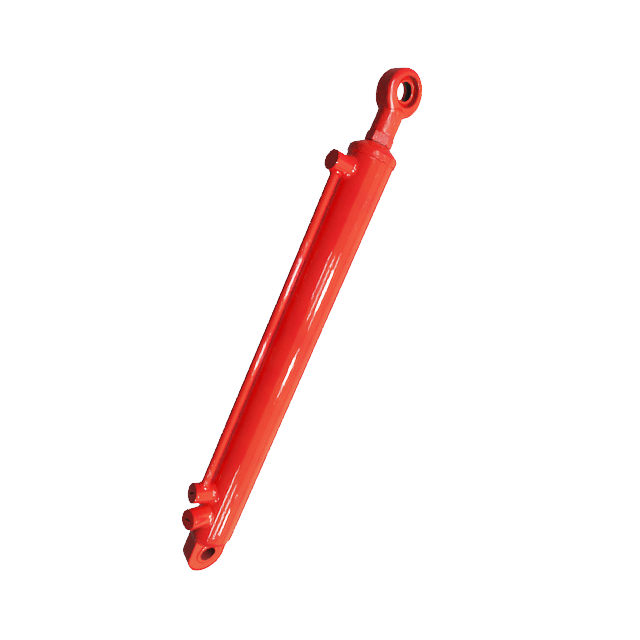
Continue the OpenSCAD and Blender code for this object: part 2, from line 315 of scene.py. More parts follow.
def enamel(name, lumps=(), coat_roughness=0.025):
    """Thick gloss enamel with an uneven film, orange peel and dust nibs.

    Each lump is a (scale, depth) of unevenness of the metal below it.
    """
    material, tree, shader, add = start_material(name)
    place = add("ShaderNodeTexCoord").outputs["Object"]
    film = noise_at(tree, add, place, 22.0, 3.0)
    shade = ramp(tree, add, film, [(0.35, ENAMEL_DEEP), (0.62, ENAMEL_RED)])
    tree.links.new(shade, shader.inputs["Base Color"])
    gloss = ramp(tree, add, noise_at(tree, add, place, 60.0, 4.0), [(0.3, grey(0.30)), (0.7, grey(0.42))])
    tree.links.new(gloss, shader.inputs["Roughness"])
    shader.inputs["Specular IOR Level"].default_value = 0.0
    shader.inputs["Coat Weight"].default_value = 1.0
    shader.inputs["Coat Roughness"].default_value = coat_roughness
    shader.inputs["Coat IOR"].default_value = 1.5
    peel = noise_at(tree, add, place, 420.0, 1.0)
    nibs = ramp(tree, add, noise_at(tree, add, place, 900.0, 0.0), [(0.74, grey(0)), (0.80, grey(1))])
    layers = [(peel, PEEL_DEPTH), (nibs, NIB_DEPTH)]
    layers += [(noise_at(tree, add, place, scale, 2.0), depth) for scale, depth in lumps]
    bumps(tree, add, shader, layers, coat=True)
    return material


def bare_metal(name, colour, roughness, grain_depth, stretch):
    """Metal with fine marks drawn out along the directions where stretch is small."""
    material, tree, shader, add = start_material(name)
    place = add("ShaderNodeTexCoord").outputs["Object"]
    mapping = add("ShaderNodeMapping")
    mapping.inputs["Scale"].default_value = stretch
    tree.links.new(place, mapping.inputs["Vector"])
    grain = noise_at(tree, add, mapping.outputs["Vector"], 1.0, 3.0)
    tint = ramp(tree, add, grain, [(0.3, (*[c * 0.82 for c in colour], 1)), (0.7, (*colour, 1))])
    tree.links.new(tint, shader.inputs["Base Color"])
    shader.inputs["Metallic"].default_value = 1.0
    spread = ramp(tree, add, grain, [(0.3, grey(roughness * 1.3)), (0.7, grey(roughness))])
    tree.links.new(spread, shader.inputs["Roughness"])
    bumps(tree, add, shader, [(grain, grain_depth)])
    return material


def soft_material(name, colour, roughness, grain_scale, grain_depth, sheen=0.0):
    """Rubber, polyurethane and fabric-filled plastics, with a fine moulded or woven grain."""
    material, tree, shader, add = start_material(name)
    place = add("ShaderNodeTexCoord").outputs["Object"]
    grain = noise_at(tree, add, place, grain_scale, 3.0)
    tint = ramp(tree, add, grain, [(0.3, (*[c * 0.7 for c in colour], 1)), (0.7, (*colour, 1))])
    tree.links.new(tint, shader.inputs["Base Color"])
    shader.inputs["Roughness"].default_value = roughness
    shader.inputs["Sheen Weight"].default_value = sheen
    bumps(tree, add, shader, [(grain, grain_depth)])
    return material


BARREL_PAINT = enamel("barrel_enamel")
FORGED_PAINT = enamel("forged_enamel", [(190.0, 0.0006), (650.0, 0.00028)])
NUT_PAINT = enamel("nut_enamel", [(260.0, 0.0004), (900.0, 0.0009)], 0.36)
WELD_PAINT = enamel("weld_enamel", [(320.0, 0.00025)])
CHROME = bare_metal("hard_chrome", (0.80, 0.81, 0.83), 0.07, 0.000002, (60, 60, 2500))
TURNED = bare_metal("turned_steel", (0.42, 0.42, 0.44), 0.28, 0.00001, (80, 80, 2500))
BEARING = bare_metal("bearing_steel", (0.34, 0.34, 0.35), 0.22, 0.000006, (300, 2500, 300))
SPRING = bare_metal("spring_steel", (0.08, 0.08, 0.09), 0.42, 0.00001, (900, 900, 900))
# near-black steel as painted shade inside the ball's through bore
BORE_STEEL_PAINTED_SHADE = bare_metal("bore_steel_painted_shade", (0.05, 0.055, 0.05), 0.42, 0.00001, (500, 2500, 500))
# thin rough overspray red, darkened to deep maroon as painted shade inside bores and the eye's recess
BORE_OVERSPRAY_PAINTED_SHADE = soft_material("bore_overspray_painted_shade", (0.13, 0.006, 0.006), 0.75, 700.0, 0.00002)
# near-black painted shade for the inside of the plugs' slots
SLOT_PAINTED_SHADE = soft_material("slot_painted_shade", (0.003, 0.002, 0.002), 1.0, 900.0, 0.00003)
RUBBER = soft_material("nitrile_rubber", (0.022, 0.022, 0.024), 0.62, 1500.0, 0.00002)
POLYURETHANE = soft_material("polyurethane", (0.05, 0.09, 0.16), 0.36, 800.0, 0.00001)
BACKUP = soft_material("ptfe", (0.82, 0.81, 0.77), 0.48, 600.0, 0.00001)
GUIDE = soft_material("guide_composite", (0.32, 0.21, 0.11), 0.66, 1800.0, 0.00003)

# ---- barrel ----

EDGE = 0.8 * MM                       # the usual broken edge under paint
CAP_CORNER = 14 * MM
PISTON_CLEARANCE = 0.3 * MM
BORE_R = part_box("piston")[1].x + PISTON_CLEARANCE
SAG = 0.03 * MM                       # unevenness of the sprayed film on long surfaces


def sagging(point, r, turn, along):
    """Moves outer points of the barrel in or out by the film's unevenness."""
    if r < TUBE_R - MM or abs(along - TUBE_LOW.z) < MM:
        return point
    flat = Vector((point.x, point.y, 0)).normalized()
    return point + flat * wobble(point, 60 * MM, SAG)


def make_tube():
    """The tube with the flush seam weld at its foot, as one painted skin."""
    support = TUBE_HIGH.z - MM            # keeps the shading straight up to the tube's end
    outline = rounded([(BORE_R, TUBE_LOW.z, 0), (TUBE_R, TUBE_LOW.z, 0), (TUBE_R, support, 0),
                       (TUBE_R, TUBE_HIGH.z, 0.3 * MM), (BORE_R, TUBE_HIGH.z, 0)])
    bm = lathe(subdivided(outline, 12 * MM), segments=256, moved=sagging)
    tube = finish_mesh("painted_tube", bm, [BARREL_PAINT])
    return hand_over(tube, "barrel", "barrel_paint", "barrel_tube", "base_seam_weld")


def make_cap():
    """The end cap: a rounded shoulder outside and a spigot inside the tube."""
    outline = rounded([(0, CAP_LOW.z, 0), (TUBE_R, CAP_LOW.z, CAP_CORNER), (TUBE_R, TUBE_LOW.z, 0),
                       (BORE_R, TUBE_LOW.z, 0), (BORE_R, CAP_HIGH.z, EDGE), (0, CAP_HIGH.z, 0)], 24)
    cap = finish_mesh("painted_cap", lathe(outline, segments=256), [BARREL_PAINT])
    return hand_over(cap, "barrel", "barrel_paint", "base_cap")


def cap_surface_z(r):
    """Height of the cap's outer surface at a distance from the axis."""
    flat = TUBE_R - CAP_CORNER
    if r <= flat:
        return CAP_LOW.z
    drop = math.sqrt(max(0, CAP_CORNER ** 2 - min(r - flat, CAP_CORNER) ** 2))
    return CAP_LOW.z + CAP_CORNER - drop


# ---- weld beads ----

BEAD_STEPS = 10
ROOT = 0.2 * MM                       # how far a bead reaches into the parts it joins
BOSS_LEG = 4.4 * MM
PIPE_LEG = 2.4 * MM
PIPE_PITCH = 2 * MM
PIPE_BULGE = 0.7 * MM


def bead(name, corner_points, length, pitch, bulge, seed, nodes, ripple=0.32):
    """A closed loop of rippled fillet weld under paint.

    corner_points(t) gives the toe on one part, the toe on the other, and the corner between them.
    """
    bm = bmesh.new()
    around = max(64, round(length / (0.35 * MM)))
    ripples = round(length / pitch)
    shift = Vector((seed * 7.3, seed * 3.1, 0))
    rings = []
    for i in range(around):
        t = i / around
        first, second, corner = corner_points(t)
        middle = (first + second) / 2
        out = (middle - corner).normalized()
        swell = 1 + 0.22 * noise.noise(middle / (9 * MM) + shift)
        ring = []
        for k in range(BEAD_STEPS + 1):
            v = k / BEAD_STEPS
            arch = math.sin(math.pi * v)
            phase = t * ripples + 0.45 * arch + 0.25 * noise.noise(middle / (5 * MM) + shift)
            wave = abs(math.sin(math.pi * phase))
            lift = bulge * arch * swell * (1 - ripple + ripple * wave)
            ring.append(bm.verts.new(first.lerp(second, v) + out * lift))
        ring.append(bm.verts.new(corner))
        rings.append(ring)
    for i in range(around):
        a, b = rings[i], rings[(i + 1) % around]
        for k in range(len(a)):
            n = (k + 1) % len(a)
            bm.faces.new((a[k], a[n], b[n], b[k]))
    piece = finish_mesh(name, bm, [WELD_PAINT], 60)
    return hand_over(piece, "barrel", "weld_paint", *nodes)


def saddle(name, origin, out, along, branch_r, run_r, leg, seed, node, pitch=3.4 * MM, bulge=-0.55 * MM):
    """Bead where a branch of one radius stands on a round run of another; below 0 the bulge is hollow."""
    side = out.cross(along)

    def at(r, turn, lift):
        lateral = r * math.sin(turn)
        height = math.sqrt(max(0, run_r ** 2 - lateral ** 2)) + lift
        return origin + out * height + side * lateral + along * (r * math.cos(turn))

    def corner_points(t):
        turn = 2 * math.pi * t
        uneven = 1 + 0.12 * noise.noise(Vector((math.cos(turn), math.sin(turn), seed)) * 1.4)
        reach = leg * uneven
        corner = at(branch_r - ROOT, turn, -ROOT)
        return at(branch_r, turn, reach), at(branch_r + reach, turn, 0), corner

    length = 2 * math.pi * (branch_r + leg / 2)
    return bead(name, corner_points, length, pitch, bulge, seed, [node])


def make_welds():
    """Beads round the three bosses and at both ends of the pipe."""
    up = Vector((0, 0, 1))
    for name, place, seed in (("rod_side_boss_weld", BLIND, 1), ("port_a_boss_weld", PORT_A, 2),
                              ("port_b_boss_weld", PORT_B, 3)):
        z, r, out = place
        saddle("bead_" + name, up * z, out, up, r, TUBE_R, BOSS_LEG, seed, name)
    level = Vector((1, 0, 0))
    for name, boss, out, seed, node in (("bead_pipe_top", BLIND, -up, 4, "pipe_top_weld"),
                                        ("bead_pipe_low", PORT_A, up, 5, "pipe_bottom_weld")):
        centre = Vector((PIPE_X, 0, boss[0]))
        saddle(name, centre, out, level, PIPE_R, boss[1], PIPE_LEG, seed, node, PIPE_PITCH, PIPE_BULGE)


# ---- base lug ----

LUG_LOW, LUG_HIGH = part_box("base_lug")
LUG_R = LUG_HIGH.x
LUG_HALF = LUG_HIGH.y
LUG_END_Z = LUG_LOW.z + LUG_R
BUSH_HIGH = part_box("base_bush")[1]
LUG_TOP = 31 * MM                     # inside the cap
LUG_EDGE = 1.6 * MM


def lug_reach(turn):
    """Distance from the pin's axis to the lug's edge, turning from +Z."""
    sx, cz = math.sin(turn), math.cos(turn)
    options = []
    if abs(sx) > 1e-6:
        options.append(LUG_R / abs(sx))
    if cz > 1e-6:
        options.append(LUG_TOP / cz)
    reach = min(options) if options else LUG_TOP
    if reach * cz >= LUG_END_Z:
        return reach
    b = -LUG_END_Z * cz
    return -b + math.sqrt(b * b - LUG_END_Z ** 2 + LUG_R ** 2)


def plate_with_hole(reach, hole_r, half, edge, where, segments=288):
    """A plate round a hole, whose edge is reach(turn) away and rounded by edge."""
    bm = bmesh.new()
    steps = 6
    rings = []
    for s in range(segments):
        turn = 2 * math.pi * s / segments
        far = reach(turn)
        section = rounded([(hole_r, -half, 0.6 * MM), (far, -half, edge), (far, half, edge),
                           (hole_r, half, 0.6 * MM)], steps)
        rings.append([bm.verts.new(where(p.x, turn, p.y)) for p in section])
    for a, b in zip(rings, rings[1:] + rings[:1]):
        for k in range(len(a)):
            n = (k + 1) % len(a)
            bm.faces.new((a[k], a[n], b[n], b[k]))
    return bm


def paint_bore(piece, centre_z, r, index=1):
    """Gives one of the piece's materials to the wall of a bore of radius r about the pin axis."""
    for polygon in piece.data.polygons:
        middle = polygon.center
        if abs(math.hypot(middle.x, middle.z - centre_z) - r) < 0.15 * MM:
            polygon.material_index = index


def make_lug():
    """The lug plate and the bush in its eye."""
    bm = plate_with_hole(lug_reach, BUSH_HIGH.x, LUG_HALF, LUG_EDGE, about_y(0))
    lug = finish_mesh("painted_lug", bm, [BARREL_PAINT])
    hand_over(lug, "barrel", "barrel_paint", "base_lug")
    half = BUSH_HIGH.y
    outline = rounded([(PIN_R, -half, 0.5 * MM), (BUSH_HIGH.x, -half, 1.1 * MM),
                       (BUSH_HIGH.x, half, 1.1 * MM), (PIN_R, half, 0.5 * MM)])
    bush = finish_mesh("painted_bush", lathe(outline, about_y(0)), [BARREL_PAINT, BORE_OVERSPRAY_PAINTED_SHADE])
    # the bush's bore takes the dark maroon painted shade
    paint_bore(bush, 0, PIN_R)
    hand_over(bush, "barrel", "barrel_paint", "base_bush")


def make_lug_weld():
    """Bead round the lug's foot, over the flat and the rounded shoulder of the cap."""
    corner_r = 4 * MM
    foot = rounded([(-LUG_R, -LUG_HALF, corner_r), (LUG_R, -LUG_HALF, corner_r),
                    (LUG_R, LUG_HALF, corner_r), (-LUG_R, LUG_HALF, corner_r)], 8)
    loop = subdivided(foot, 1 * MM)
    lengths = [(b - a).length for a, b in zip(loop, loop[1:] + loop[:1])]
    total = sum(lengths)

    def on_loop(t):
        left = (t % 1.0) * total
        for a, b, length in zip(loop, loop[1:] + loop[:1], lengths):
            if left <= length:
                return a.lerp(b, left / length)
            left -= length
        return loop[0]

    def corner_points(t):
        here = on_loop(t)
        ahead = (on_loop(t + 0.012) - on_loop(t - 0.012)).normalized()
        out = Vector((ahead.y, -ahead.x))
        leg = 3.6 * MM * (1 + 0.2 * noise.noise(Vector((here.x, here.y, 0)) / (12 * MM)))
        foot_z = cap_surface_z(here.length)
        first = Vector((here.x, here.y, foot_z - leg))
        beyond = here + out * leg
        beyond = beyond * min(1, (TUBE_R - 0.3 * MM) / beyond.length)
        second = Vector((beyond.x, beyond.y, cap_surface_z(beyond.length)))
        inside = here - out * 0.4 * MM
        return first, second, Vector((inside.x, inside.y, foot_z + 0.4 * MM))

    bead("bead_lug", corner_points, total, pitch=3.2 * MM, bulge=0.9 * MM, seed=6,
         nodes=["base_lug_weld"])


# ---- bosses, pipe and plugs ----

PASSAGE_R = 5 * MM
PLUG_LOW, PLUG_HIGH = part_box("port_a_plug")
PLUG_R = (PLUG_HIGH.z - PLUG_LOW.z) / 2
PLUG_FACE = -PLUG_LOW.x
PLUG_END = -PLUG_HIGH.x
SEAL_LOW, SEAL_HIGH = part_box("port_a_seal")
SEAL_R = (SEAL_HIGH.z - SEAL_LOW.z) / 2 + 0.2 * MM
SEAL_T = SEAL_HIGH.x - SEAL_LOW.x
THREAD_R = 8.35 * MM
PITCH = 1.337 * MM
BOSS_EDGE = 0.5 * MM
PLUG_EDGE = 0.7 * MM


def on_tube(place):
    """Moves the foot of a boss onto the barrel, a little below its surface."""
    out = place[2]
    side = Vector((-out.y, out.x, 0))

    def moved(point, r, turn, along):
        if along > TUBE_R:
            return point
        lateral = point.dot(side)
        height = math.sqrt(TUBE_R ** 2 - lateral ** 2) - 0.4 * MM
        return point + out * (height - point.dot(out))

    return moved


def make_bosses():
    """The blind boss, and the two port bosses with their plug bores and passages."""
    r = BLIND[1]
    foot = TUBE_R - MM
    outline = rounded([(0, foot, 0), (r, foot, 0), (r, BLIND_FACE, BOSS_EDGE), (0, BLIND_FACE, 0)])
    bm = lathe(subdivided(outline, 3 * MM), about_boss(BLIND), 160, on_tube(BLIND))
    blind = finish_mesh("painted_blind_boss", bm, [BARREL_PAINT])
    hand_over(blind, "barrel", "barrel_paint", "rod_side_boss")
    for tag, place in (("a", PORT_A), ("b", PORT_B)):
        face = PORT_FACE
        floor = PLUG_END - 0.5 * MM
        outline = rounded([
            (PASSAGE_R, foot, 0), (place[1], foot, 0), (place[1], face, BOSS_EDGE),
            (SEAL_R, face, 0.2 * MM), (SEAL_R, face - SEAL_T, 0), (THREAD_R, face - SEAL_T, 0.3 * MM),
            (THREAD_R, floor, 0), (PASSAGE_R, floor, 0.3 * MM)])
        bm = lathe(outline, about_boss(place), 160, on_tube(place))
        boss = finish_mesh(f"painted_port_{tag}", bm, [BARREL_PAINT, TURNED])
        side = Vector((-place[2].y, place[2].x, 0))
        for polygon in boss.data.polygons:
            centre = polygon.center - Vector((0, 0, place[0]))
            away = math.hypot(centre.z, centre.dot(side))
            inside = away < SEAL_R - 0.1 * MM and centre.dot(place[2]) < face - 0.1 * MM
            polygon.material_index = int(inside)
        hand_over(boss, "barrel", "barrel_paint", f"port_{tag}_boss")


def make_plugs():
    """Screwed plugs with a slot across the flange, their flange painted with the boss."""
    slot_long, slot_wide, slot_deep = 11 * MM, 2.4 * MM, 1.6 * MM
    root = THREAD_R - 0.6 * MM
    crest = THREAD_R - 0.05 * MM
    under = PORT_FACE + 0.03 * MM      # the flange stands a hair clear of its seal
    for tag, place, slot_turn in (("a", PORT_A, math.radians(39)), ("b", PORT_B, math.radians(20))):
        points = [(0, PLUG_END, 0), (root, PLUG_END, 0)]
        along = PLUG_END + PITCH / 4
        while along < PORT_FACE - SEAL_T - PITCH:
            points += [(root, along, 0), (crest, along + PITCH / 2, 0)]
            along += PITCH
        points += [(root, along, 0), (root, under, 0), (PLUG_R, under, 0.3 * MM),
                   (PLUG_R, PLUG_FACE, PLUG_EDGE), (0, PLUG_FACE, 0)]
        plug = finish_mesh(f"slotted_plug_{tag}", lathe(rounded(points), about_boss(place), 128),
                           [BARREL_PAINT, TURNED, SLOT_PAINTED_SHADE])
        z, _, out = place
        side = Vector((-out.y, out.x, 0))
        level = (side * -math.cos(slot_turn)) - Vector((0, 0, math.sin(slot_turn)))
        across = out.cross(level)
        bm = bmesh.new()
        bmesh.ops.create_cube(bm, size=1)
        cutter = finish_mesh("slot_cutter", bm, [])
        sides = Matrix((level * slot_long, across * slot_wide, out * 2 * slot_deep))
        frame_of_slot = sides.transposed().to_4x4()
        frame_of_slot.translation = out * PLUG_FACE + Vector((0, 0, z))
        cutter.data.transform(frame_of_slot)
        cut(plug, cutter)
        plug.data.set_sharp_from_angle(angle=math.radians(32))
        for polygon in plug.data.polygons:
            centre = polygon.center - Vector((0, 0, z))
            away = centre.dot(out)
            central = (centre - out * away).length < PLUG_R - 3 * MM
            in_slot = PORT_FACE < away < PLUG_FACE - 0.05 * MM and central
            # the slot's walls and floor take the near-black painted shade, the thread below takes bare
            # steel
            polygon.material_index = 2 if in_slot else int(away < PORT_FACE - 0.1 * MM)
        hand_over(plug, f"port_{tag}_screw", "barrel_paint", f"port_{tag}_plug")


def make_pipe():
    """The transfer pipe, with the slight bow of a long thin tube."""
    inner = PIPE_R - 2 * MM
    outline = [Vector((inner, PIPE_LOW.z)), Vector((PIPE_R, PIPE_LOW.z)),
               Vector((PIPE_R, PIPE_HIGH.z)), Vector((inner, PIPE_HIGH.z))]
    bend = 0.35 * MM

    def moved(point, r, turn, along):
        share = (along - PIPE_LOW.z) / (PIPE_HIGH.z - PIPE_LOW.z)
        bow = bend * math.sin(math.pi * share) * math.sin(2.2 * math.pi * share)
        return point + Vector((PIPE_X, bow, 0))

    bm = lathe(subdivided(outline, 8 * MM), segments=96, moved=moved)
    pipe = finish_mesh("painted_pipe", bm, [BARREL_PAINT])
    hand_over(pipe, "barrel", "barrel_paint", "transfer_pipe")


# ---- gland and rod ----

ROD_THREAD_R = 12 * MM
TAPPED_R = ROD_THREAD_R + 0.02 * MM


def make_gland():
    """Head with a thin collar and a conical hub, which holds the wiper."""
    chamfer = 4 * MM
    hub_top = GLAND_HIGH.z
    collar_top = hub_top - 7 * MM      # the hub is as tall as the wiper's pocket is deep
    wiper_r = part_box("wiper_seal")[1].x + 0.05 * MM
    hub_r = wiper_r + 2 * MM
    bore = ROD_R + 0.25 * MM
    nose_r = BORE_R - 5 * MM
    land_r = BORE_R - 0.05 * MM
    step = TUBE_HIGH.z
    inside = [(bore, GLAND_LOW.z, 0), (nose_r, GLAND_LOW.z, EDGE), (nose_r, step - 19 * MM, 0),
              (land_r, step - 16 * MM, 0), (land_r, step, 0)]
    collar = [(TUBE_R + 0.2 * MM, step, 0), (COLLAR_R, step + 1.4 * MM, 1.5 * MM),
              (COLLAR_R, collar_top - chamfer, 4 * MM), (COLLAR_R - chamfer, collar_top, 6 * MM)]
    hub = [(hub_r, hub_top - 0.3 * MM, 0.5 * MM), (wiper_r, hub_top, 0.2 * MM),
           (wiper_r, collar_top, 0), (bore, collar_top, 0)]
    outline = rounded(inside + collar + hub)
    gland = finish_mesh("painted_gland", lathe(outline, segments=256), [BARREL_PAINT])
    hand_over(gland, "barrel", "barrel_paint", "head_gland")


def make_nut():
    """Hexagon jam nut; each turn's section reaches the flats, and both ends are chamfered."""
    low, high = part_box("jam_nut")
    half = 18 * MM                     # half the width across flats
    turned = math.radians(22.5)
    corner = half / math.cos(math.pi / 6)
    chamfer_r = corner - 1.3 * MM
    slope = math.tan(math.radians(30))
    bm = bmesh.new()
    rings = []
    segments = 288
    for s in range(segments):
        turn = 2 * math.pi * s / segments
        local = (turn - turned) % (math.pi / 3) - math.pi / 6
        reach = min(half / math.cos(local), corner - 0.2 * MM)
        drop = max(0.2 * MM, (reach - chamfer_r) * slope)
        face_r = min(chamfer_r, reach - 0.2 * MM)
        section = rounded([
            (TAPPED_R, low.z, 0.4 * MM), (face_r, low.z, 0), (reach, low.z + drop, 0),
            (reach, high.z - drop, 0), (face_r, high.z, 0), (TAPPED_R, high.z, 0.4 * MM)], 3)
        rings.append([bm.verts.new(about_z(p.x, turn, p.y)) for p in section])
    for a, b in zip(rings, rings[1:] + rings[:1]):
        for k in range(len(a)):
            n = (k + 1) % len(a)
            bm.faces.new((a[k], a[n], b[n], b[k]))
    nut = finish_mesh("painted_jam_nut", bm, [NUT_PAINT], 24)
    hand_over(nut, "rod", "barrel_paint", "jam_nut")


def make_rod():
    """The chromed rod, with a plain neck for the piston and a plain end inside the eye."""
    low, high = ROD_LOW.z, ROD_HIGH.z
    neck = 11 * MM                     # the piston sits on this
    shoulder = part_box("jam_nut")[0].z - 0.5 * MM
    piston_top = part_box("piston")[1].z
    outline = rounded([
        (0, low, 0), (neck, low, 1.2 * MM), (neck, piston_top, 0), (ROD_R, piston_top, 0),
        (ROD_R, shoulder, 0.8 * MM), (ROD_THREAD_R, shoulder, 0),
        (ROD_THREAD_R, high, 1.2 * MM), (0, high, 0)])
    rod = finish_mesh("chromed_rod", lathe(outline, segments=192), [CHROME])
    hand_over(rod, "rod", "rod_chrome", "piston_rod")


# ---- rod eye and its bearing ----

EYE_LOW, EYE_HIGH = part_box("rod_eye")
EYE_MID = EYE_Z - 3 * MM              # the forging's disc is centred a little below the pin
EYE_R = EYE_HIGH.z - EYE_MID
EYE_HALF = 16.5 * MM
EYE_ROUND = 6.5 * MM
SHANK_R = EYE_HIGH.y
RING_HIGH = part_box("bearing_outer_ring")[1]
RACE_R = RING_HIGH.x
BALL_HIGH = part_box("bearing_ball")[1]
BALL_R = BALL_HIGH.x


def join_solid(piece, other):
    """Runs a closed mesh into the piece for good."""
    step = piece.modifiers.new("join", "BOOLEAN")
    step.operation = "UNION"
    step.solver = "EXACT"
    step.object = other
    settle(piece)
    bpy.data.objects.remove(other)


def make_eye():
    """The forging: a rounded disc run into its shank, blended, lumpy, then bored clean."""
    disc = rounded([(0, -EYE_HALF, 0), (EYE_R, -EYE_HALF, EYE_ROUND), (EYE_R, EYE_HALF, EYE_ROUND),
                    (0, EYE_HALF, 0)])
    eye = finish_mesh("forged_eye", lathe(disc, about_y(EYE_MID)), [])
    fade = EYE_Z - 27 * MM                # the shank runs out into the disc's faces above here
    top = EYE_Z - 20 * MM
    shank = rounded([(0, EYE_LOW.z, 0), (SHANK_R, EYE_LOW.z, 1.4 * MM), (SHANK_R, fade, 3 * MM),
                     (SHANK_R - 4 * MM, top, 0), (0, top, 0)])
    join_solid(eye, finish_mesh("shank", lathe(shank), []))
    mesher = eye.modifiers.new("remesh", "REMESH")
    mesher.mode = "VOXEL"
    mesher.voxel_size = 0.6 * MM
    smooth = eye.modifiers.new("smooth", "SMOOTH")
    smooth.factor = 0.5
    smooth.iterations = 9
    settle(eye)
    roughen_eye(eye)
    shoulder = bore_eye(eye)
    eye.data.materials.clear()
    eye.data.materials.append(FORGED_PAINT)
    eye.data.materials.append(BORE_OVERSPRAY_PAINTED_SHADE)
    # the recess wall under the shoulder takes the dark maroon painted shade
    paint_bore(eye, EYE_Z, shoulder)
    eye.data.polygons.foreach_set("use_smooth", [True] * len(eye.data.polygons))
    eye.data.set_sharp_from_angle(angle=math.radians(38))
    hand_over(eye, "rod", "forged_paint", "rod_eye")


def roughen_eye(eye):
    """Pushes the forging's surface in and out by small lumps, but not the end that meets the nut."""
    normals = [v.normal.copy() for v in eye.data.vertices]
    limit = EYE_LOW.z + 0.4 * MM
    for vertex, normal in zip(eye.data.vertices, normals):
        if vertex.co.z > limit:
            coarse = wobble(vertex.co, 9 * MM, 0.16 * MM)
            fine = wobble(vertex.co, 2.6 * MM, 0.09 * MM)
            vertex.co += normal * (coarse + fine - 0.10 * MM)


def bore_eye(eye):
    """Cuts the bearing's seat, its circlip groove and the rod's thread; returns the shoulder's radius."""
    shoulder, mouth = 19.8 * MM, 1.0 * MM
    seat_r = RING_HIGH.x + 0.02 * MM
    seat_y = RING_HIGH.y
    groove_r = seat_r + 1.1 * MM
    clip_low, clip_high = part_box("bearing_circlip")
    groove_low = clip_low.y - 0.1 * MM
    groove_high = clip_high.y + 0.1 * MM
    over = EYE_HALF + 2 * MM
    front = [(0, -over), (shoulder + mouth + 2 * MM, -over), (shoulder + mouth, -EYE_HALF),
             (shoulder, -EYE_HALF + mouth), (shoulder, -seat_y), (seat_r, -seat_y)]
    groove = [(seat_r, groove_low), (groove_r, groove_low), (groove_r, groove_high), (seat_r, groove_high)]
    rear = [(seat_r, EYE_HALF - mouth), (seat_r + mouth, EYE_HALF),
            (seat_r + mouth + 2 * MM, over), (0, over)]
    cutter = [Vector(p) for p in front + groove + rear]
    cut(eye, finish_mesh("eye_bore", lathe(cutter, about_y(EYE_Z), 160), []))
    low, high = EYE_LOW.z - MM, ROD_HIGH.z + MM
    thread = [Vector(p) for p in ((0, low), (TAPPED_R, low), (TAPPED_R, high), (0, high))]
    cut(eye, finish_mesh("eye_thread", lathe(thread), []))
    return shoulder


def paint_ends(piece, from_middle):
    """Gives the second material, overspray, to the faces of a ring that lie this far along the pin."""
    for polygon in piece.data.polygons:
        if abs(polygon.center.y) > from_middle and polygon.material_index == 0:
            polygon.material_index = 1


def sphere_arc(r, half, steps=24):
    """Section of a sphere cut off square at half on each side, from its low end to its high end."""
    edge = math.asin(half / r)
    turns = [-edge + 2 * edge * k / steps for k in range(steps + 1)]
    return [Vector((r * math.cos(a), r * math.sin(a))) for a in turns]


def make_bearing():
    """The spherical bearing: an outer ring with a hollow race, and the ball that swivels in it."""
    overspray = 3 * MM                 # how far the paint reaches into the gap between the two
    half = RING_HIGH.y
    race_arc = sphere_arc(BALL_R + 0.05 * MM, half)[::-1]
    outline = race_arc + rounded([(RACE_R, -half, 0.5 * MM), (RACE_R, half, 0.5 * MM),
                                  (race_arc[0].x + 0.2 * MM, half, 0)])[:-1]
    ring = finish_mesh("bearing_race", lathe(outline, about_y(EYE_Z), 160), [BEARING, BARREL_PAINT])
    paint_ends(ring, half - overspray)
    hand_over(ring, "rod", "bearing_steel", "bearing_outer_ring")
    end = BALL_HIGH.y
    ball_arc = sphere_arc(BALL_R, end)
    outline = ball_arc + rounded([(PIN_R, end, 0.5 * MM), (PIN_R, -end, 0.5 * MM),
                                  (ball_arc[0].x, -end, 0)])[:-1]
    materials = [BEARING, BARREL_PAINT, BORE_STEEL_PAINTED_SHADE]
    ball = finish_mesh("bearing_inner", lathe(outline, about_y(EYE_Z), 160), materials)
    # the ball's bore takes the near-black painted shade
    paint_bore(ball, EYE_Z, PIN_R, 2)
    paint_ends(ball, half - overspray)
    hand_over(ball, "ball", "bearing_steel", "bearing_ball")


CAD_FINISHES = {
    "bearing_circlip": SPRING, "piston": TURNED, "piston_nut": TURNED, "piston_oring": RUBBER,
    "gland_oring": RUBBER, "port_a_seal": RUBBER, "port_b_seal": RUBBER, "rod_seal": POLYURETHANE,
    "wiper_seal": RUBBER, "piston_seal": POLYURETHANE, "gland_backup_ring": BACKUP,
    "rod_guide": GUIDE, "lower_wear_ring": GUIDE, "upper_wear_ring": GUIDE,
}


def finish_cad_nodes():
    """Gives a material to each CAD node that is shown as packed."""
    for node, material in CAD_FINISHES.items():
        piece = frame["nodes"][node]
        piece.data.materials.clear()
        piece.data.materials.append(material)


make_tube()
make_cap()
make_lug()
make_lug_weld()
make_bosses()
make_welds()
make_plugs()
make_pipe()
make_gland()
make_nut()
make_rod()
make_eye()
make_bearing()
finish_cad_nodes()

# ---- floor, background and light ----

FLOOR_Z = LUG_LOW.z
WHITE = 30                            # seen by the camera only: this much is pure white
FILL = 0.15
VEIL_Z = -0.3                         # the tall warm lamps reach below the floor, for the low barrel
WARM = (1.0, 0.60, 0.22)


def make_floor():
    """A plain white floor that adds no light of its own to the object."""
    bm = bmesh.new()
    bmesh.ops.create_circle(bm, cap_ends=True, segments=96, radius=14)
    material, _, shader, _ = start_material("floor")
    shader.inputs["Base Color"].default_value = (0.92, 0.92, 0.92, 1)
    shader.inputs["Roughness"].default_value = 0.9
    shader.inputs["Specular IOR Level"].default_value = 0.0
    shader.inputs["Emission Color"].default_value = (1, 1, 1, 1)
    shader.inputs["Emission Strength"].default_value = WHITE
    floor = finish_mesh("floor", bm, [material])
    floor.location.z = FLOOR_Z - 0.5 * MM
    floor.visible_diffuse = False
    floor.visible_glossy = False


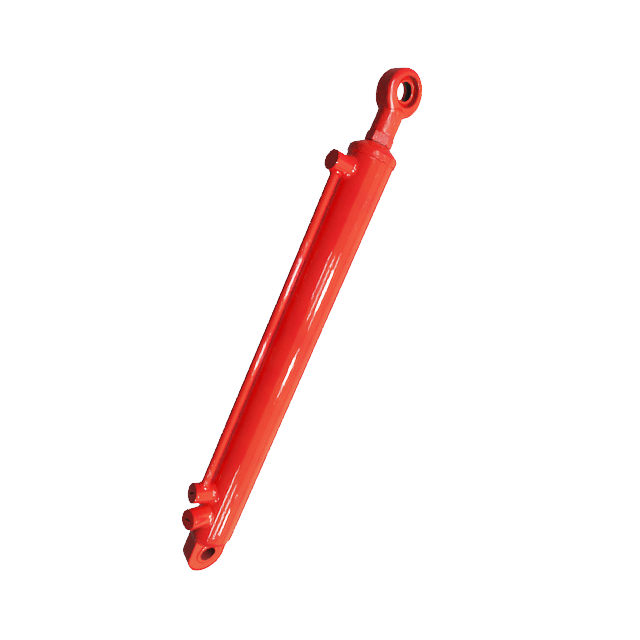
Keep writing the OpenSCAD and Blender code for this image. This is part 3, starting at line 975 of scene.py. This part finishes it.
def make_world():
    """White to the camera, a low fill to the object."""
    world = bpy.data.worlds.new("studio")
    bpy.context.scene.world = world
    world.use_nodes = True
    tree = world.node_tree
    tree.nodes.clear()
    seen = tree.nodes.new("ShaderNodeBackground")
    seen.inputs["Color"].default_value = (1, 1, 1, 1)
    seen.inputs["Strength"].default_value = WHITE
    fill = tree.nodes.new("ShaderNodeBackground")
    fill.inputs["Color"].default_value = (1, 1, 1, 1)
    fill.inputs["Strength"].default_value = FILL
    path = tree.nodes.new("ShaderNodeLightPath")
    mix = tree.nodes.new("ShaderNodeMixShader")
    out = tree.nodes.new("ShaderNodeOutputWorld")
    tree.links.new(path.outputs["Is Camera Ray"], mix.inputs["Fac"])
    tree.links.new(fill.outputs["Background"], mix.inputs[1])
    tree.links.new(seen.outputs["Background"], mix.inputs[2])
    tree.links.new(mix.outputs["Shader"], out.inputs["Surface"])


def lamp(name, place, target, width, height, radiance,
         glossy=True, diffuse=True, shape="RECTANGLE", colour=(1, 1, 1)):
    """A soft lamp of one surface brightness that faces a target, unseen by the camera."""
    data = bpy.data.lights.new(name, "AREA")
    data.shape = shape
    data.size = width
    data.size_y = height
    area = width * height * (math.pi / 4 if shape == "ELLIPSE" else 1)
    data.energy = math.pi * area * radiance
    data.color = colour
    piece = bpy.data.objects.new(name, data)
    bpy.context.scene.collection.objects.link(piece)
    piece.location = place
    piece.rotation_euler = (place - target).to_track_quat("Z", "Y").to_euler()
    piece.visible_camera = False
    piece.visible_glossy = glossy
    piece.visible_diffuse = diffuse


def reflected_in(height, turn_from_camera, radius):
    """A point on an upright cylinder and the direction in which the camera sees the room mirrored there."""
    toward = math.atan2(CAMERA_PLACE.y, CAMERA_PLACE.x) + turn_from_camera
    outward = Vector((math.cos(toward), math.sin(toward), 0))
    point = outward * radius + Vector((0, 0, height))
    sight = (point - CAMERA_PLACE).normalized()
    return point, sight.reflect(outward)


def streak(name, height, degrees, width, tall, radiance, distance=2.4, radius=TUBE_R):
    """A lamp whose mirror image lies at one height and turn on an upright cylinder."""
    point, direction = reflected_in(height, math.radians(degrees), radius)
    lamp(name, point + direction * distance, point, width, tall, radiance, diffuse=False, shape="ELLIPSE")


def make_lights():
    """Soft lamps for the paint's colour, and mirrored ones for its streaks."""
    middle = Vector((0, 0, 0.36))
    view = math.atan2(CAMERA_PLACE.y, CAMERA_PLACE.x)

    def around(degrees, distance, height):
        a = view + math.radians(degrees)
        return Vector((distance * math.cos(a), distance * math.sin(a), height))

    lamp("key", around(54, 2.6, 0.9), middle, 0.8, 1.4, 106, glossy=False)
    lamp("top_soft", Vector((0.5, -0.5, 2.6)), middle, 1.2, 1.2, 6, glossy=False)
    lamp("far_side", around(150, 2.4, 0.6), middle, 1.5, 1.8, 3, glossy=False)
    for degrees, radiance in ((26, 1.1), (66, 1.6), (108, 1.6), (148, 0.12)):
        place = around(degrees, 2.8, VEIL_Z)
        lamp(f"veil_{degrees}", place, Vector((0, 0, VEIL_Z)), 1.9, 5.0, radiance,
             diffuse=False, colour=WARM)
    # each streak's height, degrees from the camera, width, length and brightness
    streak("streak_high", 0.467, 22.0, 0.34, 0.30, 420)
    streak("tail_high", 0.468, 22.5, 0.07, 0.56, 70)
    streak("streak_mid", 0.340, 20.5, 0.24, 0.20, 420)
    streak("tail_mid", 0.340, 20.8, 0.06, 0.36, 70)
    streak("streak_low", 0.078, 23.0, 0.10, 0.16, 300)
    streak("line_right", 0.470, 11.5, 0.04, 0.50, 130)
    streak("line_left", 0.483, 1.3, 0.04, 0.36, 110)
    streak("line_low_right", 0.09, 12.6, 0.05, 0.40, 130)
    streak("line_low_left", 0.10, 0.8, 0.05, 0.52, 130)
    streak("shank_line", 0.716, 6.0, 0.18, 0.20, 320, radius=SHANK_R)
    for name, degrees, height in (("left", 1.4, 0.6655), ("middle", 8.8, 0.6655), ("right", 20.0, 0.662)):
        streak("collar_" + name, height, degrees, 0.07, 0.05, 420, radius=COLLAR_R)


make_floor()
make_world()
make_lights()
bpy.context.scene.view_settings.view_transform = "Filmic"
bpy.context.scene.view_settings.look = "None"
